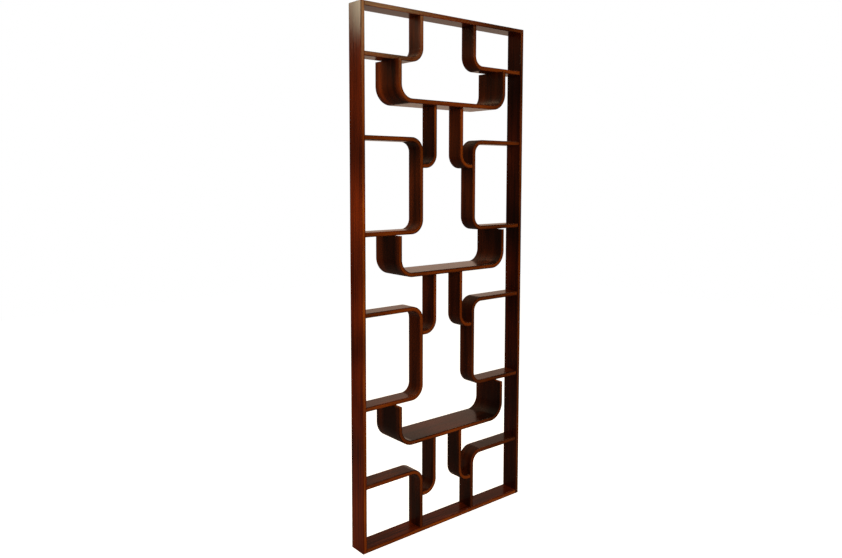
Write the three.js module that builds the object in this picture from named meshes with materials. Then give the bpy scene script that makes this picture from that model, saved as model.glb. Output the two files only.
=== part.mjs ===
// Partition screen: a tall open frame of boards, filled with bent plywood shelves, trays and hangers.
// Millimetres, +Z up. The origin is on the ground, at the middle of the frame's width and depth.
// The front is towards -Y, and every piece is centred on the frame's middle plane, y = 0.
import * as THREE from "three";

// Frame
const FRAME_HEIGHT = 2130;
const FRAME_WIDTH = 883;
const FRAME_DEPTH = 79;
const STILE_THICKNESS = 18;
const RAIL_THICKNESS = 18;

// Bent boards: their thickness, and the inside radius of their bends
const PLY_THICKNESS = 18;
const BRACKET_RADIUS = 40;
const TRAY_RADIUS = 54;
const HANGER_RADIUS = 39;

// Brackets and bays: the boards that reach in from the two stiles
const BRACKET_DEPTH = 73;
const CENTRE_GAP = 272; // clear width between the left ones and the right ones
const TOP_BRACKET_DROP = 183; // from the top rail down to the underside of the top bracket's shelf
const BOTTOM_BRACKET_RISE = 255; // from the bottom rail up to the top of the bottom bracket's shelf
const SHELF_GAP = 294; // clear height below each of the shelves that carry a tray

// Trays: hung under those shelves, across the middle
const TRAY_LENGTH = 586;
const TRAY_DEPTH = 150;
const TRAY_HEIGHT = 166;

// Hangers: from each tray down, and out to the bay or bracket below it
const HANGER_REACH = 72; // from the hanger's centre-facing side out to the bay
const HANGER_LANDING = 122; // from the top of that bay down to the hanger's underside

const JOINT_GAP = 0.3; // glue line wherever two pieces meet
const BEND_STEPS = 12; // flat steps in a quarter turn

// Places and levels that follow from the sizes above
const TIERS = ["upper", "middle", "lower"];
const BAY_TIERS = ["upper", "lower"];
const SIDES = { left: -1, right: 1 };
const STILE_FACE = FRAME_WIDTH / 2 - STILE_THICKNESS;
const BRACKET_FACE = CENTRE_GAP / 2;
const HANGER_FACE = BRACKET_FACE - HANGER_REACH;
const RAIL_UNDERSIDE = FRAME_HEIGHT - RAIL_THICKNESS;
const TOP_SHELF_UNDERSIDE = RAIL_UNDERSIDE - TOP_BRACKET_DROP;
const BOTTOM_SHELF_TOP = RAIL_THICKNESS + BOTTOM_BRACKET_RISE;
const BAY_STACK = TOP_SHELF_UNDERSIDE - BOTTOM_SHELF_TOP - TIERS.length * SHELF_GAP;
const BAY_HEIGHT = BAY_STACK / BAY_TIERS.length;

// Dark lacquered mahogany veneer
const VENEER = { color: 0x4f2111, roughness: 0.38, metalness: 0 };

const screen = new THREE.Group();

function addPiece(name, geometry) {
  const piece = new THREE.Mesh(geometry, new THREE.MeshStandardMaterial(VENEER));
  piece.name = name;
  screen.add(piece);
}

// A flat board of the frame, between two corners given as [x, z]
function addBoard(name, [x0, z0], [x1, z1]) {
  const board = new THREE.BoxGeometry(x1 - x0, FRAME_DEPTH, z1 - z0);
  board.translate((x0 + x1) / 2, 0, (z0 + z1) / 2);
  addPiece(name, board);
}

// The largest outside radius that leaves each straight run of a bent board room for its bends
function roomForBends(corners) {
  const runs = corners.slice(1).map((corner, index) => {
    const bends = index === 0 || index === corners.length - 2 ? 1 : 2;
    return corner.distanceTo(corners[index]) / bends;
  });
  return Math.min(...runs);
}

// One face of a bent board, set in by `inset` from its outside corners, with an arc at each bend
function faceLine(corners, inset, outsideRadius) {
  const line = [];
  corners.forEach((corner, index) => {
    const from = corners[Math.max(index - 1, 0)];
    const to = corners[Math.max(index, 1)];
    const along = to.clone().sub(from).normalize();
    const inward = new THREE.Vector2(-along.y, along.x);
    if (index === 0 || index === corners.length - 1) {
      line.push(corner.clone().addScaledVector(inward, inset));
      return;
    }
    const centre = corner.clone()
      .addScaledVector(along, -outsideRadius)
      .addScaledVector(inward, outsideRadius);
    const radius = outsideRadius - inset;
    for (let step = 0; step <= BEND_STEPS; step += 1) {
      const angle = (step / BEND_STEPS) * (Math.PI / 2);
      line.push(centre.clone()
        .addScaledVector(inward, -radius * Math.cos(angle))
        .addScaledVector(along, radius * Math.sin(angle)));
    }
  });
  return line;
}

// A bent board. Its corners [x, z] follow its outside face, and every bend turns left.
function addBentBoard(name, side, depth, insideRadius, points) {
  const corners = points.map(([x, z]) => new THREE.Vector2(x, z));
  const outsideRadius = Math.min(insideRadius + PLY_THICKNESS, roomForBends(corners));
  const outside = faceLine(corners, 0, outsideRadius);
  const inside = faceLine(corners, PLY_THICKNESS, outsideRadius);
  const outline = [...outside, ...inside.reverse()];
  outline.forEach((point) => { point.x *= side; });
  const board = new THREE.ExtrudeGeometry(new THREE.Shape(outline), { depth, bevelEnabled: false });
  board.rotateX(Math.PI / 2);
  board.translate(0, depth / 2, 0);
  addPiece(name, board);
}

function addFrame() {
  for (const [sideName, side] of Object.entries(SIDES)) {
    const faces = [side * STILE_FACE, side * (STILE_FACE + STILE_THICKNESS)];
    addBoard(`${sideName}_stile`, [Math.min(...faces), 0], [Math.max(...faces), FRAME_HEIGHT]);
  }
  const end = STILE_FACE - JOINT_GAP;
  addBoard("bottom_rail", [-end, 0], [end, RAIL_THICKNESS]);
  addBoard("top_rail", [-end, RAIL_UNDERSIDE], [end, FRAME_HEIGHT]);
}

// The L-shaped brackets that hang from the top rail and stand on the bottom rail
function addBrackets(sideName, side) {
  const end = STILE_FACE - JOINT_GAP;
  addBentBoard(`top_bracket_${sideName}`, side, BRACKET_DEPTH, BRACKET_RADIUS, [
    [BRACKET_FACE, RAIL_UNDERSIDE - JOINT_GAP],
    [BRACKET_FACE, TOP_SHELF_UNDERSIDE],
    [end, TOP_SHELF_UNDERSIDE],
  ]);
  addBentBoard(`bottom_bracket_${sideName}`, side, BRACKET_DEPTH, BRACKET_RADIUS, [
    [end, BOTTOM_SHELF_TOP],
    [BRACKET_FACE, BOTTOM_SHELF_TOP],
    [BRACKET_FACE, RAIL_THICKNESS + JOINT_GAP],
  ]);
}

// A C-shaped bay, open towards its stile
function addBay(name, side, top) {
  const end = STILE_FACE - JOINT_GAP;
  const underside = top - BAY_HEIGHT;
  addBentBoard(name, side, BRACKET_DEPTH, BRACKET_RADIUS, [
    [end, top],
    [BRACKET_FACE, top],
    [BRACKET_FACE, underside],
    [end, underside],
  ]);
}

// A U-shaped tray, whose two arms meet the shelves above it
function addTray(name, shelfUnderside) {
  const half = TRAY_LENGTH / 2;
  const top = shelfUnderside - JOINT_GAP;
  const underside = shelfUnderside - TRAY_HEIGHT;
  addBentBoard(name, 1, TRAY_DEPTH, TRAY_RADIUS, [
    [-half, top],
    [-half, underside],
    [half, underside],
    [half, top],
  ]);
}

// A J-shaped hanger, from the tray's underside to the side of the bay below
function addHanger(name, side, shelfUnderside) {
  const underside = shelfUnderside - SHELF_GAP - HANGER_LANDING;
  addBentBoard(name, side, BRACKET_DEPTH, HANGER_RADIUS, [
    [HANGER_FACE, shelfUnderside - TRAY_HEIGHT - JOINT_GAP],
    [HANGER_FACE, underside],
    [BRACKET_FACE - JOINT_GAP, underside],
  ]);
}

addFrame();
TIERS.forEach((tier, index) => {
  addTray(`${tier}_tray`, TOP_SHELF_UNDERSIDE - index * (SHELF_GAP + BAY_HEIGHT));
});
for (const [sideName, side] of Object.entries(SIDES)) {
  addBrackets(sideName, side);
  BAY_TIERS.forEach((tier, index) => {
    const top = TOP_SHELF_UNDERSIDE - SHELF_GAP - index * (SHELF_GAP + BAY_HEIGHT);
    addBay(`${tier}_bay_${sideName}`, side, top);
  });
  TIERS.forEach((tier, index) => {
    addHanger(`${tier}_hanger_${sideName}`, side, TOP_SHELF_UNDERSIDE - index * (SHELF_GAP + BAY_HEIGHT));
  });
}

export default screen;
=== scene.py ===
"""Partition screen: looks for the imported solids, in metres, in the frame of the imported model.

The screen is a narrow frame of veneered boards, filled with bent plywood bays, trays and hangers.
Each board is swept along its real bends, gets softened arrises, and carries its own place in the
board (along, across and through its thickness), which the wood materials read.
"""

import logging
import math
from dataclasses import dataclass, field
from enum import Enum

import bmesh
import bpy
from mathutils import Matrix, Vector


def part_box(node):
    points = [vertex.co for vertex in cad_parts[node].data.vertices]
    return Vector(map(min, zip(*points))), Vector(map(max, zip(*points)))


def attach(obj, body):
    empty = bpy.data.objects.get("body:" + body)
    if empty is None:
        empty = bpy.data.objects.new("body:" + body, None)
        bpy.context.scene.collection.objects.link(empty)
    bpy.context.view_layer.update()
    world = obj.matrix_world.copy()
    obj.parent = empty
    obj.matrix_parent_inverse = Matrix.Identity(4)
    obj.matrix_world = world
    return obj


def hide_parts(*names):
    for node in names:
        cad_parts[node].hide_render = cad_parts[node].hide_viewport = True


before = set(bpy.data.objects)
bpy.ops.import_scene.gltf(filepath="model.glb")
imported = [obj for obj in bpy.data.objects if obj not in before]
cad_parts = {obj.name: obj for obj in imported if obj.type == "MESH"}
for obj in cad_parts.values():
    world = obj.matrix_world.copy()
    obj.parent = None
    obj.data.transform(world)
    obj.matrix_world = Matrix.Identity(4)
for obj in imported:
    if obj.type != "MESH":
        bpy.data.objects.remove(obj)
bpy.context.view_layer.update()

BODY = "root"
MM = 0.001
BOARD_THICKNESS = 18 * MM
WELD = 0.01 * MM  # vertices this close are one
WHITE = "#ffffff"
PLACE = "board_place"
# Each board's tones are partly its own leaf of veneer and partly painted light and shade for how it is
# lit
LEAF_AND_SHADE_TONE = "leaf_and_shade_tone"
EDGE_AND_SHADE_TONE = "edge_and_shade_tone"
SIDES = ("left", "right")
TIERS = ("upper", "middle", "lower")

log = logging.getLogger("partition_screen")


def linear(hex_colour: str) -> tuple[float, float, float, float]:
    """Turns an sRGB hex colour into linear values.

    Args:
        hex_colour: the colour as "#rrggbb".

    Returns:
        Red, green and blue, linear, and 1 for the alpha.
    """
    channels = [int(hex_colour[i : i + 2], 16) / 255 for i in (1, 3, 5)]
    values = [c / 12.92 if c <= 0.04045 else ((c + 0.055) / 1.055) ** 2.4 for c in channels]
    return (*values, 1.0)


def add_node(
    tree: bpy.types.NodeTree,
    kind: str,
    settings: dict[str, object] | None = None,
    inputs: dict[str | int, object] | None = None,
) -> bpy.types.Node:
    """Adds one node with its settings, values and links.

    Args:
        tree: the node tree.
        kind: the node's type name.
        settings: properties of the node itself.
        inputs: for each input, a value, or the socket that feeds it.

    Returns:
        The new node.
    """
    node = tree.nodes.new(kind)
    for name, value in (settings or {}).items():
        setattr(node, name, value)
    for key, value in (inputs or {}).items():
        if isinstance(value, bpy.types.NodeSocket):
            tree.links.new(value, node.inputs[key])
        else:
            node.inputs[key].default_value = value
    return node


@dataclass(frozen=True)
class Grain:
    """One layer of the figure: soft marks drawn out along the board."""

    length_mm: float
    width_mm: float
    octaves: float  # how much finer structure each mark has
    finer_share: float = 0.55  # how strong each finer octave is beside the one before

    def add(self, tree: bpy.types.NodeTree, place: bpy.types.Node) -> bpy.types.NodeSocket:
        """Adds this layer's noise to a material.

        Args:
            tree: the material's nodes.
            place: the node that reads the place in the board.

        Returns:
            The noise, from 0 to 1.
        """
        along = 1 / (self.length_mm * MM)
        across = 1 / (self.width_mm * MM)
        mapping = add_node(
            tree,
            "ShaderNodeMapping",
            inputs={"Vector": place.outputs["Vector"], "Scale": (along, across, across)},
        )
        noise = add_node(
            tree,
            "ShaderNodeTexNoise",
            inputs={
                "Vector": mapping.outputs[0],
                "Scale": 1.0,
                "Detail": self.octaves,
                "Roughness": self.finer_share,
            },
        )
        return noise.outputs["Fac"]


@dataclass(frozen=True)
class BoardWood:
    """A board faced with dark-stained veneer and lacquered, with a lighter core at its edges."""

    name: str
    veneer_dark: str
    veneer_light: str
    core_dark: str
    core_light: str
    ply_mm: float  # thickness of one layer of the core, or 0 for a solid lipping
    ribbon: Grain = Grain(450.0, 13.0, 3.0)  # the lighter and darker bands of the figure
    streak: Grain = Grain(110.0, 1.3, 2.0)
    # A real pore is 0.2 mm wide, too fine to show, so it is drawn three times as wide
    pore: Grain = Grain(9.0, 0.6, 1.0)
    blotch: Grain = Grain(300.0, 120.0, 2.0)
    # Whole stretches of a board take more or less stain than others; where a board's cut is chosen,
    # these stretches also paint light and shade
    uneven: Grain = Grain(300.0, 600.0, 1.0)
    core_figure: Grain = Grain(160.0, 5.0, 2.0)
    ribbon_weight: float = 2.2  # beside the streaks and the blotches, which count once each
    veneer_tones: tuple[float, float] = (1.64, 2.61)  # the sum of the three, at darkest and lightest
    core_tones: tuple[float, float] = (0.7, 1.3)  # the core's figure plus the streaks, the same way
    pore_noise: tuple[float, float] = (0.56, 0.68)  # where a pore begins and where it is deepest
    pore_darkening: float = 0.28
    pore_colour: str = "#120603"
    uneven_noise: tuple[float, float] = (0.3, 0.7)  # nearly the whole range of the noise
    uneven_tones: tuple[float, float] = (0.45, 1.45)  # what a colour is multiplied by at its ends
    stained_mm: float = 2.4  # how far the dark stain reaches round a softened arris into the edge
    stain_fade_mm: float = 2.6
    ply_border: tuple[float, float] = (0.35, 0.65)  # how sharply one layer turns into the next
    ply_contrast: float = 0.55
    roughness: float = 0.22
    roughness_spread: float = 0.07
    lacquer_ior: float = 1.45
    relief_strength: float = 0.05
    relief_mm: float = 0.2

    def material(self) -> bpy.types.Material:
        """Builds the wood's node material.

        Returns:
            The material.
        """
        material = bpy.data.materials.new(self.name)
        material.use_nodes = True
        tree = material.node_tree
        tree.nodes.clear()
        place = add_node(tree, "ShaderNodeAttribute", {"attribute_name": PLACE})
        parts = add_node(tree, "ShaderNodeSeparateXYZ", inputs={0: place.outputs["Vector"]})
        streak = self.streak.add(tree, place)
        pores = add_node(
            tree,
            "ShaderNodeMapRange",
            inputs={
                "Value": self.pore.add(tree, place),
                "From Min": self.pore_noise[0],
                "From Max": self.pore_noise[1],
                "To Max": self.pore_darkening,
            },
        ).outputs[0]
        wood = self._stained(tree, place, self._board(tree, place, parts, streak, pores))
        gloss = add_node(
            tree,
            "ShaderNodeMapRange",
            inputs={
                "Value": streak,
                "To Min": self.roughness - self.roughness_spread,
                "To Max": self.roughness + self.roughness_spread,
            },
        )
        relief = add_node(
            tree,
            "ShaderNodeMath",
            {"operation": "MULTIPLY_ADD"},
            {0: pores, 1: -1.0, 2: streak},
        )
        bump = add_node(
            tree,
            "ShaderNodeBump",
            inputs={
                "Strength": self.relief_strength,
                "Distance": self.relief_mm * MM,
                "Height": relief.outputs[0],
            },
        )
        shader = add_node(
            tree,
            "ShaderNodeBsdfPrincipled",
            inputs={
                "Base Color": wood,
                "Roughness": gloss.outputs[0],
                "IOR": self.lacquer_ior,
                "Normal": bump.outputs[0],
            },
        )
        add_node(tree, "ShaderNodeOutputMaterial", inputs={"Surface": shader.outputs[0]})
        return material

    def _board(
        self,
        tree: bpy.types.NodeTree,
        place: bpy.types.Node,
        parts: bpy.types.Node,
        streak: bpy.types.NodeSocket,
        pores: bpy.types.NodeSocket,
    ) -> bpy.types.NodeSocket:
        """Adds the board's colour: veneer on its faces, and the core in the middle of its edges.

        Args:
            tree: the material's nodes.
            place: the node that reads the place in the board.
            parts: the node that splits it.
            streak: the fine streaks.
            pores: how far the pores darken.

        Returns:
            The colour.
        """
        in_core = add_node(
            tree,
            "ShaderNodeMapRange",
            inputs={
                "Value": self._depth(tree, parts),
                "From Min": self.stained_mm * MM,
                "From Max": (self.stained_mm + self.stain_fade_mm) * MM,
            },
        )
        board = add_node(
            tree,
            "ShaderNodeMix",
            {"data_type": "RGBA"},
            {
                "Factor": in_core.outputs[0],
                6: self._veneer(tree, place, streak, pores),
                7: self._core(tree, place, parts, streak),
            },
        )
        return board.outputs[2]

    def _stained(
        self, tree: bpy.types.NodeTree, place: bpy.types.Node, colour: bpy.types.NodeSocket
    ) -> bpy.types.NodeSocket:
        """Lets some stretches of the board take more stain than others, which on some boards also
        paints light and shade.

        Args:
            tree: the material's nodes.
            place: the node that reads the place in the board.
            colour: the colour of the board.

        Returns:
            The uneven colour.
        """
        taken = add_node(
            tree,
            "ShaderNodeMapRange",
            inputs={
                "Value": self.uneven.add(tree, place),
                "From Min": self.uneven_noise[0],
                "From Max": self.uneven_noise[1],
                "To Min": self.uneven_tones[0],
                "To Max": self.uneven_tones[1],
            },
        )
        stained = add_node(
            tree,
            "ShaderNodeVectorMath",
            {"operation": "SCALE"},
            {0: colour, "Scale": taken.outputs[0]},
        )
        return stained.outputs[0]

    @staticmethod
    def _depth(tree: bpy.types.NodeTree, parts: bpy.types.Node) -> bpy.types.NodeSocket:
        """Adds the depth below the nearer face of the board.

        Args:
            tree: the material's nodes.
            parts: the node that splits the place in the board.

        Returns:
            The depth in metres.
        """
        other = add_node(
            tree,
            "ShaderNodeMath",
            {"operation": "SUBTRACT"},
            {0: BOARD_THICKNESS, 1: parts.outputs[2]},
        )
        nearer = add_node(
            tree,
            "ShaderNodeMath",
            {"operation": "MINIMUM"},
            {0: parts.outputs[2], 1: other.outputs[0]},
        )
        return nearer.outputs[0]

    def _veneer(
        self,
        tree: bpy.types.NodeTree,
        place: bpy.types.Node,
        streak: bpy.types.NodeSocket,
        pores: bpy.types.NodeSocket,
    ) -> bpy.types.NodeSocket:
        """Adds the colour of the face veneer: ribbon figure, fine streaks, blotches and dark pores.

        Args:
            tree: the material's nodes.
            place: the node that reads the place in the board.
            streak: the fine streaks.
            pores: how far the pores darken.

        Returns:
            The colour.
        """
        bands = add_node(
            tree,
            "ShaderNodeMath",
            {"operation": "MULTIPLY_ADD"},
            {0: self.ribbon.add(tree, place), 1: self.ribbon_weight, 2: streak},
        )
        tone = add_node(
            tree,
            "ShaderNodeMath",
            {"operation": "ADD"},
            {0: bands.outputs[0], 1: self.blotch.add(tree, place)},
        )
        spread = add_node(
            tree,
            "ShaderNodeMapRange",
            inputs={
                "Value": tone.outputs[0],
                "From Min": self.veneer_tones[0],
                "From Max": self.veneer_tones[1],
            },
        )
        figure = add_node(
            tree,
            "ShaderNodeMix",
            {"data_type": "RGBA"},
            {"Factor": spread.outputs[0], 6: linear(self.veneer_dark), 7: linear(self.veneer_light)},
        )
        pored = add_node(
            tree,
            "ShaderNodeMix",
            {"data_type": "RGBA"},
            {"Factor": pores, 6: figure.outputs[2], 7: linear(self.pore_colour)},
        )
        return self._toned(tree, pored.outputs[2], LEAF_AND_SHADE_TONE)

    def _core(
        self,
        tree: bpy.types.NodeTree,
        place: bpy.types.Node,
        parts: bpy.types.Node,
        streak: bpy.types.NodeSocket,
    ) -> bpy.types.NodeSocket:
        """Adds the colour of the core that shows at the edges: plywood layers, or a solid lipping.

        Args:
            tree: the material's nodes.
            place: the node that reads the place in the board.
            parts: the node that splits it.
            streak: the fine streaks.

        Returns:
            The colour.
        """
        tone = add_node(
            tree,
            "ShaderNodeMath",
            {"operation": "ADD"},
            {0: self.core_figure.add(tree, place), 1: streak},
        )
        spread = add_node(
            tree,
            "ShaderNodeMapRange",
            inputs={
                "Value": tone.outputs[0],
                "From Min": self.core_tones[0],
                "From Max": self.core_tones[1],
            },
        )
        plain = add_node(
            tree,
            "ShaderNodeMix",
            {"data_type": "RGBA"},
            {"Factor": spread.outputs[0], 6: linear(self.core_dark), 7: linear(self.core_light)},
        )
        if not self.ply_mm:
            return self._toned(tree, plain.outputs[2], EDGE_AND_SHADE_TONE)
        layer = add_node(
            tree,
            "ShaderNodeMath",
            {"operation": "DIVIDE"},
            {0: parts.outputs[2], 1: self.ply_mm * MM},
        )
        # Every second layer runs across, so its end grain drinks more stain and shows darker
        across = add_node(
            tree,
            "ShaderNodeMath",
            {"operation": "PINGPONG"},
            {0: layer.outputs[0], 1: 1.0},
        )
        band = add_node(
            tree,
            "ShaderNodeMapRange",
            inputs={
                "Value": across.outputs[0],
                "From Min": self.ply_border[0],
                "From Max": self.ply_border[1],
                "To Max": self.ply_contrast,
            },
        )
        layered = add_node(
            tree,
            "ShaderNodeMix",
            {"data_type": "RGBA"},
            {"Factor": band.outputs[0], 6: plain.outputs[2], 7: linear(self.core_dark)},
        )
        return self._toned(tree, layered.outputs[2], EDGE_AND_SHADE_TONE)

    @staticmethod
    def _toned(
        tree: bpy.types.NodeTree, colour: bpy.types.NodeSocket, attribute: str
    ) -> bpy.types.NodeSocket:
        """Lightens or darkens a colour by the board's tone, which is partly its own and partly painted
        light and shade.

        Args:
            tree: the material's nodes.
            colour: the colour.
            attribute: the attribute that holds the tone.

        Returns:
            The toned colour.
        """
        tone = add_node(tree, "ShaderNodeAttribute", {"attribute_name": attribute})
        toned = add_node(
            tree,
            "ShaderNodeVectorMath",
            {"operation": "SCALE"},
            {0: colour, "Scale": tone.outputs["Fac"]},
        )
        return toned.outputs[0]


# Sliced mahogany veneer, stained and lacquered: red-brown with a fine ribbon figure and a soft gloss.
# The front edges carry a solid mahogany lipping, which the stain leaves more orange.
FRAME_BOARD = BoardWood(
    name="mahogany_veneered_board_lacquered",
    veneer_dark="#461406",
    veneer_light="#7a2e0b",
    core_dark="#7a2c04",
    core_light="#b8641e",
    ply_mm=0.0,
)
# The same veneer pressed on bent beech plywood, with a broader figure and edges that show the plies.
# Its faces are darker: painted shade, for these boards stand in the frame's shade.
BENT_PLYWOOD = BoardWood(
    name="mahogany_veneer_on_bent_beech_plywood_lacquered",
    veneer_dark="#311208",
    veneer_light="#642a0c",
    core_dark="#642604",
    core_light="#a05412",
    ply_mm=1.5,
    ribbon=Grain(450.0, 28.0, 3.0),
)


@dataclass
class Leg:
    """A straight run of a board's path, or a quarter bend, in the x, z plane."""

    start: Vector  # on the outside face
    along: Vector
    inward: Vector
    from_length: float
    length: float
    radius: float = 0.0  # outside radius of a bend, or 0 for a straight run

    def locate(self, point: Vector) -> tuple[float, float, float]:
        """Finds a point's place on this leg.

        Args:
            point: the point in x, z.

        Returns:
            Its length along the board, its depth from the outside face, and how far off the leg it is.
        """
        if self.radius:
            ray = point - (self.start + self.inward * self.radius)
            depth = self.radius - ray.length
            turned = math.atan2(ray.dot(self.along), -ray.dot(self.inward))
            along = turned / (math.pi / 2) * self.length
        else:
            offset = point - self.start
            depth = offset.dot(self.inward)
            along = offset.dot(self.along)
        off = max(0.0, -along, along - self.length, -depth, depth - BOARD_THICKNESS)
        return self.from_length + min(max(along, 0.0), self.length), depth, off


@dataclass
class BoardPath:
    """The way a board runs: the corners of its outside face in x, z, turned by quarter bends."""

    corners: list[tuple[float, float]]
    turn: int  # 1 where the inside is to the left of the way it runs, seen from the front
    outside_radius: float = 0.0
    legs: list[Leg] = field(default_factory=list)

    def __post_init__(self) -> None:
        """Works out the straight runs and the bends."""
        points = [Vector(corner) for corner in self.corners]
        last = len(points) - 2
        length = 0.0
        for index, (here, there) in enumerate(zip(points, points[1:])):
            along = (there - here).normalized()
            inward = Vector((-along.y, along.x)) * self.turn
            start = here + along * (self.outside_radius if index else 0.0)
            end = there - along * (self.outside_radius if index < last else 0.0)
            run = (end - start).length
            self.legs.append(Leg(start, along, inward, length, run))
            length += run
            if index < last:
                bend = (self.outside_radius - BOARD_THICKNESS / 2) * math.pi / 2
                self.legs.append(Leg(end, along, inward, length, bend, self.outside_radius))
                length += bend

    def total(self) -> float:
        """Gives the board's whole length."""
        return self.legs[-1].from_length + self.legs[-1].length

    def locate(self, point: Vector) -> tuple[float, float]:
        """Finds a point's place in the board.

        Args:
            point: the point in x, z.

        Returns:
            Its length along the board, and its depth from the outside face.
        """
        along, depth, _ = min((leg.locate(point) for leg in self.legs), key=lambda found: found[2])
        return along, depth


@dataclass
class Board:
    """One board of the screen, swept along its path, with softened arrises."""

    node: str
    slot: str
    path: BoardPath
    figure_start: float  # where its veneer was cut from, so that no two boards look alike
    leaf_and_shade_tone: float = 1.0  # how light its veneer is beside the other boards': partly its own leaf, partly painted light and shade
    edge_and_shade_tone: float = 1.0  # the same for its edges
    arris: float = 2.0 * MM
    end_arris: float = 0.5 * MM
    bend_steps: int = 16
    arris_steps: int = 4
    shortest_run: float = 0.1 * MM  # an edge that gains less than this runs across the board
    rim_angle_deg: float = 60.0  # an edge at an end with a sharper turn than this is a rim

    def build(self, material: bpy.types.Material) -> bpy.types.Object:
        """Builds the board in place of its solid.

        Args:
            material: its wood.

        Returns:
            The board.
        """
        low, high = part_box(self.node)
        bm = bmesh.new()
        self._sweep(bm, low.y, high.y)
        self._soften(bm)
        mesh = bpy.data.meshes.new(f"{self.node}_board")
        bm.to_mesh(mesh)
        bm.free()
        self._record_place(mesh, (low.y + high.y) / 2)
        mesh.shade_smooth()
        mesh.materials.append(material)
        board = bpy.data.objects.new(f"{self.node}_board", mesh)
        bpy.context.scene.collection.objects.link(board)
        normals = board.modifiers.new("flat_faces_stay_flat", "WEIGHTED_NORMAL")
        normals.keep_sharp = True
        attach(board, BODY)
        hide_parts(self.node)
        log.info("%s: %d faces", board.name, len(mesh.polygons))
        return board

    def _sweep(self, bm: bmesh.types.BMesh, front: float, back: float) -> None:
        """Sweeps the board's section along its path.

        Args:
            bm: the mesh to fill.
            front: the y of its front edge.
            back: the y of its back edge.
        """
        first = self.path.legs[0]
        corners = []
        for depth, y in ((0, front), (BOARD_THICKNESS, front), (BOARD_THICKNESS, back), (0, back)):
            place = first.start + first.inward * depth
            corners.append(bm.verts.new((place.x, y, place.y)))
        section = bm.faces.new(corners)
        for leg in self.path.legs:
            if leg.radius:
                centre = leg.start + leg.inward * leg.radius
                swept = bmesh.ops.spin(
                    bm,
                    geom=[section, *section.edges, *section.verts],
                    cent=(centre.x, 0, centre.y),
                    axis=(0, -self.path.turn, 0),
                    dvec=(0, 0, 0),
                    angle=math.pi / 2,
                    steps=self.bend_steps,
                    use_merge=False,
                    use_duplicate=False,
                )["geom_last"]
            else:
                swept = bmesh.ops.extrude_face_region(bm, geom=[section])["geom"]
                step = leg.along * leg.length
                moved = [item for item in swept if isinstance(item, bmesh.types.BMVert)]
                bmesh.ops.translate(bm, verts=moved, vec=(step.x, 0, step.y))
            section = next(item for item in swept if isinstance(item, bmesh.types.BMFace))
        bmesh.ops.remove_doubles(bm, verts=bm.verts, dist=WELD)
        # The sections left inside the board, between one leg and the next
        inner = [face for face in bm.faces if all(len(edge.link_faces) > 2 for edge in face.edges)]
        bmesh.ops.delete(bm, geom=inner, context="FACES_ONLY")
        bmesh.ops.recalc_face_normals(bm, faces=bm.faces)

    def _length_of(self, vert: bmesh.types.BMVert) -> float:
        """Gives a vertex's length along the board."""
        return self.path.locate(Vector((vert.co.x, vert.co.z)))[0]

    def _soften(self, bm: bmesh.types.BMesh) -> None:
        """Rounds the long arrises, and takes the sharpness off the ends.

        Args:
            bm: the mesh.
        """
        long_edges = []
        for edge in bm.edges:
            gained = abs(self._length_of(edge.verts[0]) - self._length_of(edge.verts[1]))
            if gained > self.shortest_run:
                long_edges.append(edge)
        bmesh.ops.bevel(
            bm,
            geom=long_edges,
            offset=self.arris,
            offset_type="OFFSET",
            segments=self.arris_steps,
            profile=0.5,
            affect="EDGES",
            material=-1,
        )
        total = self.path.total()
        rims = []
        for edge in bm.edges:
            lengths = [self._length_of(vert) for vert in edge.verts]
            at_end = all(min(length, total - length) < WELD for length in lengths)
            if at_end and edge.calc_face_angle(0.0) > math.radians(self.rim_angle_deg):
                rims.append(edge)
        bmesh.ops.bevel(
            bm,
            geom=rims,
            offset=self.end_arris,
            offset_type="OFFSET",
            segments=1,
            profile=0.5,
            affect="EDGES",
            material=-1,
        )
        bmesh.ops.recalc_face_normals(bm, faces=bm.faces)

    def _record_place(self, mesh: bpy.types.Mesh, middle: float) -> None:
        """Writes each vertex's place in the board, and the board's tones.

        Args:
            mesh: the finished mesh.
            middle: the y of the board's middle.
        """
        places = []
        for vertex in mesh.vertices:
            along, depth = self.path.locate(Vector((vertex.co.x, vertex.co.z)))
            places.extend((self.figure_start + along, vertex.co.y - middle, depth))
        mesh.attributes.new(PLACE, "FLOAT_VECTOR", "POINT").data.foreach_set("vector", places)
        for name, tone in ((LEAF_AND_SHADE_TONE, self.leaf_and_shade_tone), (EDGE_AND_SHADE_TONE, self.edge_and_shade_tone)):
            tones = [tone] * len(mesh.vertices)
            mesh.attributes.new(name, "FLOAT", "POINT").data.foreach_set("value", tones)


class Bend(Enum):
    """How a bent board runs, seen on the right-hand side of the screen."""

    DOWN_THEN_OUT = "L, from above, then out"
    IN_THEN_DOWN = "L, from the stile, then down"
    OPEN_OUTWARDS = "C, open towards the stile"
    OPEN_UPWARDS = "U"

    def path(self, node: str, outside_radius: float) -> BoardPath:
        """Lays this bend into a node's box.

        Args:
            node: the solid that the board stands for.
            outside_radius: the radius of its outside face at a bend.

        Returns:
            The board's path.
        """
        low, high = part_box(node)
        if self is Bend.OPEN_UPWARDS:
            corners = [(low.x, high.z), (low.x, low.z), (high.x, low.z), (high.x, high.z)]
            return BoardPath(corners, 1, outside_radius)
        side = 1 if low.x + high.x > 0 else -1
        near, far = (low.x, high.x) if side > 0 else (high.x, low.x)
        runs = {
            Bend.DOWN_THEN_OUT: [(near, high.z), (near, low.z), (far, low.z)],
            Bend.IN_THEN_DOWN: [(far, high.z), (near, high.z), (near, low.z)],
            Bend.OPEN_OUTWARDS: [(far, high.z), (near, high.z), (near, low.z), (far, low.z)],
        }
        return BoardPath(runs[self], side, outside_radius)


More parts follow.
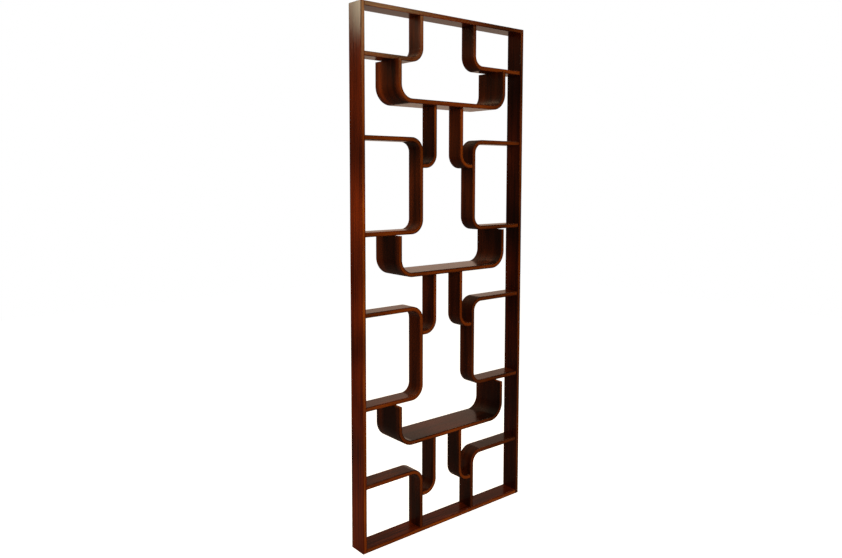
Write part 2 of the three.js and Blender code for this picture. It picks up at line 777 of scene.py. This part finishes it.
@dataclass
class OuterFrame:
    """The two stiles and the two rails between them."""

    nodes: tuple[str, ...] = ("left_stile", "right_stile", "bottom_rail", "top_rail")
    slot: str = "frame_boards"
    arris: float = 1.5 * MM
    # Chosen so that the stiles are lighter and darker at the heights where the real ones are, which
    # partly paints the light and shade on them
    figure_starts: tuple[float, ...] = (56.66, 28.56, 5.8, 8.7)
    # The tones are partly each board's own leaf and partly painted shade: the right stile, farther from
    # the light, is darkened most, its edge too
    leaf_and_shade_tones: tuple[float, ...] = (0.85, 0.36, 0.85, 1.0)
    edge_and_shade_tones: tuple[float, ...] = (0.78, 0.45, 0.95, 0.5)

    def build(self, material: bpy.types.Material) -> list[bpy.types.Object]:
        """Builds the four boards.

        Args:
            material: their wood.

        Returns:
            The boards.
        """
        boards = []
        for index, node in enumerate(self.nodes):
            low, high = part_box(node)
            outside_faces = {
                "left_stile": [(low.x, high.z), (low.x, low.z)],
                "right_stile": [(high.x, low.z), (high.x, high.z)],
                "bottom_rail": [(low.x, low.z), (high.x, low.z)],
                "top_rail": [(high.x, high.z), (low.x, high.z)],
            }
            board = Board(
                node=node,
                slot=self.slot,
                path=BoardPath(outside_faces[node], 1),
                figure_start=self.figure_starts[index],
                leaf_and_shade_tone=self.leaf_and_shade_tones[index],
                edge_and_shade_tone=self.edge_and_shade_tones[index],
                arris=self.arris,
            )
            boards.append(board.build(material))
        return boards


@dataclass
class BentBoards:
    """One kind of bent board, with the bend and the radius they share."""

    nodes: list[str]
    bend: Bend
    inside_radius: float
    first_figure: float
    leaf_and_shade_tones: tuple[float, ...]
    edge_and_shade_tones: tuple[float, ...]
    figure_step: float = 1.7  # metres of veneer between one board's cut and the next one's
    slot: str = "bent_boards"

    def build(self, material: bpy.types.Material) -> list[bpy.types.Object]:
        """Builds every board of this kind.

        Args:
            material: their wood.

        Returns:
            The boards.
        """
        boards = []
        for index, (node, *tones) in enumerate(zip(self.nodes, self.leaf_and_shade_tones, self.edge_and_shade_tones)):
            path = self.bend.path(node, self.inside_radius + BOARD_THICKNESS)
            start = self.first_figure + self.figure_step * index
            boards.append(Board(node, self.slot, path, start, *tones).build(material))
        return boards


@dataclass
class Filling:
    """The bent boards inside the frame, with their inside radii."""

    bracket_radius: float = 40 * MM  # the bays share it
    tray_radius: float = 54 * MM
    hanger_radius: float = 39 * MM

    def build(self, material: bpy.types.Material) -> list[bpy.types.Object]:
        """Builds the brackets, the bays, the trays and the hangers.

        Args:
            material: their wood.

        Returns:
            The boards.
        """
        return [board for kind in self._kinds() for board in kind.build(material)]

    def _kinds(self) -> list[BentBoards]:
        """Lists the kinds of bent board, each with its own cut of veneer and the tones of its boards,
        which also paint the light and shade that each board is in.

        Returns:
            The kinds, in the order in which they are built.
        """
        return [
            BentBoards(
                nodes=[f"top_bracket_{side}" for side in SIDES],
                bend=Bend.DOWN_THEN_OUT,
                inside_radius=self.bracket_radius,
                first_figure=20.0,
                leaf_and_shade_tones=(1.8, 1.2),
                edge_and_shade_tones=(1.0, 0.9),
            ),
            BentBoards(
                nodes=[f"bottom_bracket_{side}" for side in SIDES],
                bend=Bend.IN_THEN_DOWN,
                inside_radius=self.bracket_radius,
                first_figure=30.0,
                leaf_and_shade_tones=(1.0, 0.65),
                edge_and_shade_tones=(1.0, 0.7),
            ),
            BentBoards(
                nodes=[f"{tier}_bay_{side}" for tier in ("upper", "lower") for side in SIDES],
                bend=Bend.OPEN_OUTWARDS,
                inside_radius=self.bracket_radius,
                first_figure=40.0,
                leaf_and_shade_tones=(1.4, 0.82, 1.15, 0.85),
                edge_and_shade_tones=(1.0, 0.85, 1.0, 0.6),
            ),
            BentBoards(
                nodes=[f"{tier}_tray" for tier in TIERS],
                bend=Bend.OPEN_UPWARDS,
                inside_radius=self.tray_radius,
                first_figure=115.18,  # chosen so that their right arms are darker than their left ones: painted shade
                leaf_and_shade_tones=(1.2, 0.75, 0.63),
                edge_and_shade_tones=(1.1, 1.0, 1.0),
            ),
            BentBoards(
                nodes=[f"{tier}_hanger_{side}" for tier in TIERS for side in SIDES],
                bend=Bend.DOWN_THEN_OUT,
                inside_radius=self.hanger_radius,
                first_figure=80.0,
                leaf_and_shade_tones=(0.6, 1.2, 0.9, 0.9, 0.8, 0.8),
                edge_and_shade_tones=(1.0, 1.3, 1.0, 1.3, 1.0, 1.3),
            ),
        ]


@dataclass(frozen=True)
class SoftBox:
    """One soft rectangular light."""

    name: str
    at: tuple[float, float, float]
    size: tuple[float, float]  # width and height in metres
    watts: float
    colour: str
    spread_deg: float = 180.0
    mirrored: bool = True  # whether the lacquer mirrors it


WARM = "#ffdcae"
YELLOWED = "#ffe9a8"
NEUTRAL = "#fff6d0"
# The first two only light the wood: mirrored in the lacquer, they would veil its edges and glare off
# the trays. The sheens near the top of the screen come from the last two.
SOFTBOXES = (
    SoftBox("key_softbox", (-1.4, -3.9, 1.9), (2.4, 2.0), 91, WARM, mirrored=False),
    SoftBox("side_strip", (-1.75, 0.15, 1.2), (0.2, 2.2), 12.5, WARM, mirrored=False),
    SoftBox("right_softbox", (2.6, 0.0, 3.2), (1.0, 1.0), 24, WARM),
    SoftBox("back_softbox", (-0.2, 1.7, 4.6), (2.0, 0.8), 8, WARM, spread_deg=80.0),
    SoftBox("high_front_right", (1.9, -3.4, 2.95), (0.9, 0.4), 7.5, YELLOWED),
    SoftBox("high_back_left", (-0.9, 0.55, 2.27), (0.15, 0.3), 1.15, NEUTRAL),
)


@dataclass
class Studio:
    """Pale floor, soft dome of light, softboxes, and the camera at the photograph's angle."""

    camera_at: tuple[float, float, float] = (-2.0032, -2.2788, 1.4872)
    turned_deg: float = 39.597  # from looking straight at the front, towards the right
    tilted_deg: float = 4.622  # downwards
    rolled_deg: float = 0.077
    focal_px: float = 722.25
    centre_up_px: float = 46.2  # how far the lens axis is off the picture's centre, as it was cropped
    picture_px: int = 842  # width
    sensor_mm: float = 36.0
    clip: tuple[float, float] = (0.05, 200.0)  # nearest and farthest thing seen, in metres
    softboxes: tuple[SoftBox, ...] = SOFTBOXES
    lit_point: tuple[float, float, float] = (0.0, 0.0, 1.1)  # the middle of the screen
    floor_half: float = 6.0
    floor_drop: float = 0.5 * MM  # keeps the floor's face clear of the screen's underside
    paper: str = "#f2f2f2"
    paper_lift: float = 0.93
    paper_bounce: str = "#736b73"  # what the screen gets back from the floor
    room: str = "#ffefc8"
    room_strength: tuple[float, float] = (0.045, 0.2)  # near the horizon, and overhead
    room_height: tuple[float, float] = (0.3, 0.9)  # between which heights of the dome it brightens
    glow: str = "#ffd8c0"
    glow_strength: float = 0.64
    glow_reach: tuple[float, float] = (0.9, 0.998)  # cosines of the angle to its middle
    glow_towards: tuple[float, float, float] = (0.637, 0.770, 0.03)

    def build(self) -> None:
        """Builds the floor, the light and the camera."""
        self._floor()
        self._dome()
        for box in self.softboxes:
            self._softbox(box)
        self._camera()

    def _floor(self) -> None:
        """Adds the plain pale floor, just under the screen."""
        bm = bmesh.new()
        bmesh.ops.create_grid(bm, x_segments=1, y_segments=1, size=self.floor_half)
        bmesh.ops.translate(bm, verts=bm.verts, vec=(0, 0, -self.floor_drop))
        mesh = bpy.data.meshes.new("floor")
        bm.to_mesh(mesh)
        bm.free()
        material = bpy.data.materials.new("matt_white_paper_floor")
        material.use_nodes = True
        tree = material.node_tree
        tree.nodes.clear()
        # The screen is lit as in a dark room, so the paper throws little light on it but is seen white
        paper = add_node(tree, "ShaderNodeBsdfDiffuse", inputs={"Color": linear(self.paper)})
        lift = add_node(
            tree,
            "ShaderNodeEmission",
            inputs={"Color": linear(WHITE), "Strength": self.paper_lift},
        )
        bright = add_node(tree, "ShaderNodeAddShader", inputs={0: paper.outputs[0], 1: lift.outputs[0]})
        dull = add_node(tree, "ShaderNodeBsdfDiffuse", inputs={"Color": linear(self.paper_bounce)})
        seen = add_node(tree, "ShaderNodeLightPath")
        both = add_node(
            tree,
            "ShaderNodeMixShader",
            inputs={0: seen.outputs["Is Camera Ray"], 1: dull.outputs[0], 2: bright.outputs[0]},
        )
        add_node(tree, "ShaderNodeOutputMaterial", inputs={"Surface": both.outputs[0]})
        mesh.materials.append(material)
        floor = bpy.data.objects.new("floor", mesh)
        bpy.context.scene.collection.objects.link(floor)

    def _dome(self) -> None:
        """Adds the soft dome: dim near the horizon, brighter overhead, and seen plain white.

        A soft glow low down behind the screen gives the tray floors their sheen.
        """
        world = bpy.data.worlds.new("studio_dome")
        world.use_nodes = True
        tree = world.node_tree
        tree.nodes.clear()
        ray = add_node(tree, "ShaderNodeTexCoord")
        parts = add_node(tree, "ShaderNodeSeparateXYZ", inputs={0: ray.outputs["Generated"]})
        height = add_node(
            tree,
            "ShaderNodeMapRange",
            {"interpolation_type": "SMOOTHSTEP"},
            {
                "Value": parts.outputs[2],
                "From Min": self.room_height[0],
                "From Max": self.room_height[1],
                "To Min": self.room_strength[0],
                "To Max": self.room_strength[1],
            },
        )
        towards = add_node(
            tree,
            "ShaderNodeVectorMath",
            {"operation": "DOT_PRODUCT"},
            {0: ray.outputs["Generated"], 1: self.glow_towards},
        )
        near_glow = add_node(
            tree,
            "ShaderNodeMapRange",
            {"interpolation_type": "SMOOTHSTEP"},
            {
                "Value": towards.outputs["Value"],
                "From Min": self.glow_reach[0],
                "From Max": self.glow_reach[1],
                "To Max": self.glow_strength,
            },
        )
        room = add_node(
            tree,
            "ShaderNodeBackground",
            inputs={"Color": linear(self.room), "Strength": height.outputs[0]},
        )
        glow = add_node(
            tree,
            "ShaderNodeBackground",
            inputs={"Color": linear(self.glow), "Strength": near_glow.outputs[0]},
        )
        light = add_node(tree, "ShaderNodeAddShader", inputs={0: room.outputs[0], 1: glow.outputs[0]})
        backdrop = add_node(
            tree,
            "ShaderNodeBackground",
            inputs={"Color": linear(WHITE), "Strength": 1.0},
        )
        seen = add_node(tree, "ShaderNodeLightPath")
        both = add_node(
            tree,
            "ShaderNodeMixShader",
            inputs={0: seen.outputs["Is Camera Ray"], 1: light.outputs[0], 2: backdrop.outputs[0]},
        )
        add_node(tree, "ShaderNodeOutputWorld", inputs={"Surface": both.outputs[0]})
        bpy.context.scene.world = world

    def _softbox(self, box: SoftBox) -> None:
        """Adds one soft light that faces the middle of the screen.

        Args:
            box: the light.
        """
        lamp = bpy.data.lights.new(box.name, "AREA")
        lamp.shape = "RECTANGLE"
        lamp.size, lamp.size_y = box.size
        lamp.energy = box.watts
        lamp.spread = math.radians(box.spread_deg)
        lamp.color = linear(box.colour)[:3]
        light = bpy.data.objects.new(box.name, lamp)
        aim = Vector(self.lit_point) - Vector(box.at)
        light.location = box.at
        light.rotation_euler = aim.to_track_quat("-Z", "Y").to_euler()
        light.visible_camera = False
        light.visible_glossy = box.mirrored
        bpy.context.scene.collection.objects.link(light)

    def _camera(self) -> None:
        """Adds the camera where the photograph was taken from."""
        angles = (self.turned_deg, self.tilted_deg, self.rolled_deg)
        turn, tilt, roll = (math.radians(angle) for angle in angles)
        level = math.cos(tilt)
        ahead = Vector((math.sin(turn) * level, math.cos(turn) * level, -math.sin(tilt)))
        right = Vector((math.cos(turn), -math.sin(turn), 0.0))
        up = right.cross(ahead)
        rolled_right = right * math.cos(roll) + up * math.sin(roll)
        rolled_up = up * math.cos(roll) - right * math.sin(roll)
        lens = bpy.data.cameras.new("camera")
        lens.sensor_fit = "HORIZONTAL"
        lens.sensor_width = self.sensor_mm
        lens.lens = self.focal_px / self.picture_px * self.sensor_mm
        lens.shift_y = -self.centre_up_px / self.picture_px
        lens.clip_start, lens.clip_end = self.clip
        camera = bpy.data.objects.new("camera", lens)
        turned = Matrix((rolled_right, rolled_up, -ahead)).transposed().to_4x4()
        camera.matrix_world = Matrix.Translation(self.camera_at) @ turned
        bpy.context.scene.collection.objects.link(camera)
        bpy.context.scene.camera = camera


def main() -> None:
    """Builds the screen's boards, then the studio."""
    logging.basicConfig(level=logging.INFO, format="%(name)s: %(message)s")
    frame_wood = FRAME_BOARD.material()
    bent_wood = BENT_PLYWOOD.material()
    boards = OuterFrame().build(frame_wood)
    boards += Filling().build(bent_wood)
    log.info("%d boards in all", len(boards))
    Studio().build()
    bpy.context.scene.view_settings.view_transform = "Standard"
    bpy.context.view_layer.update()


if __name__ == "__main__":
    main()
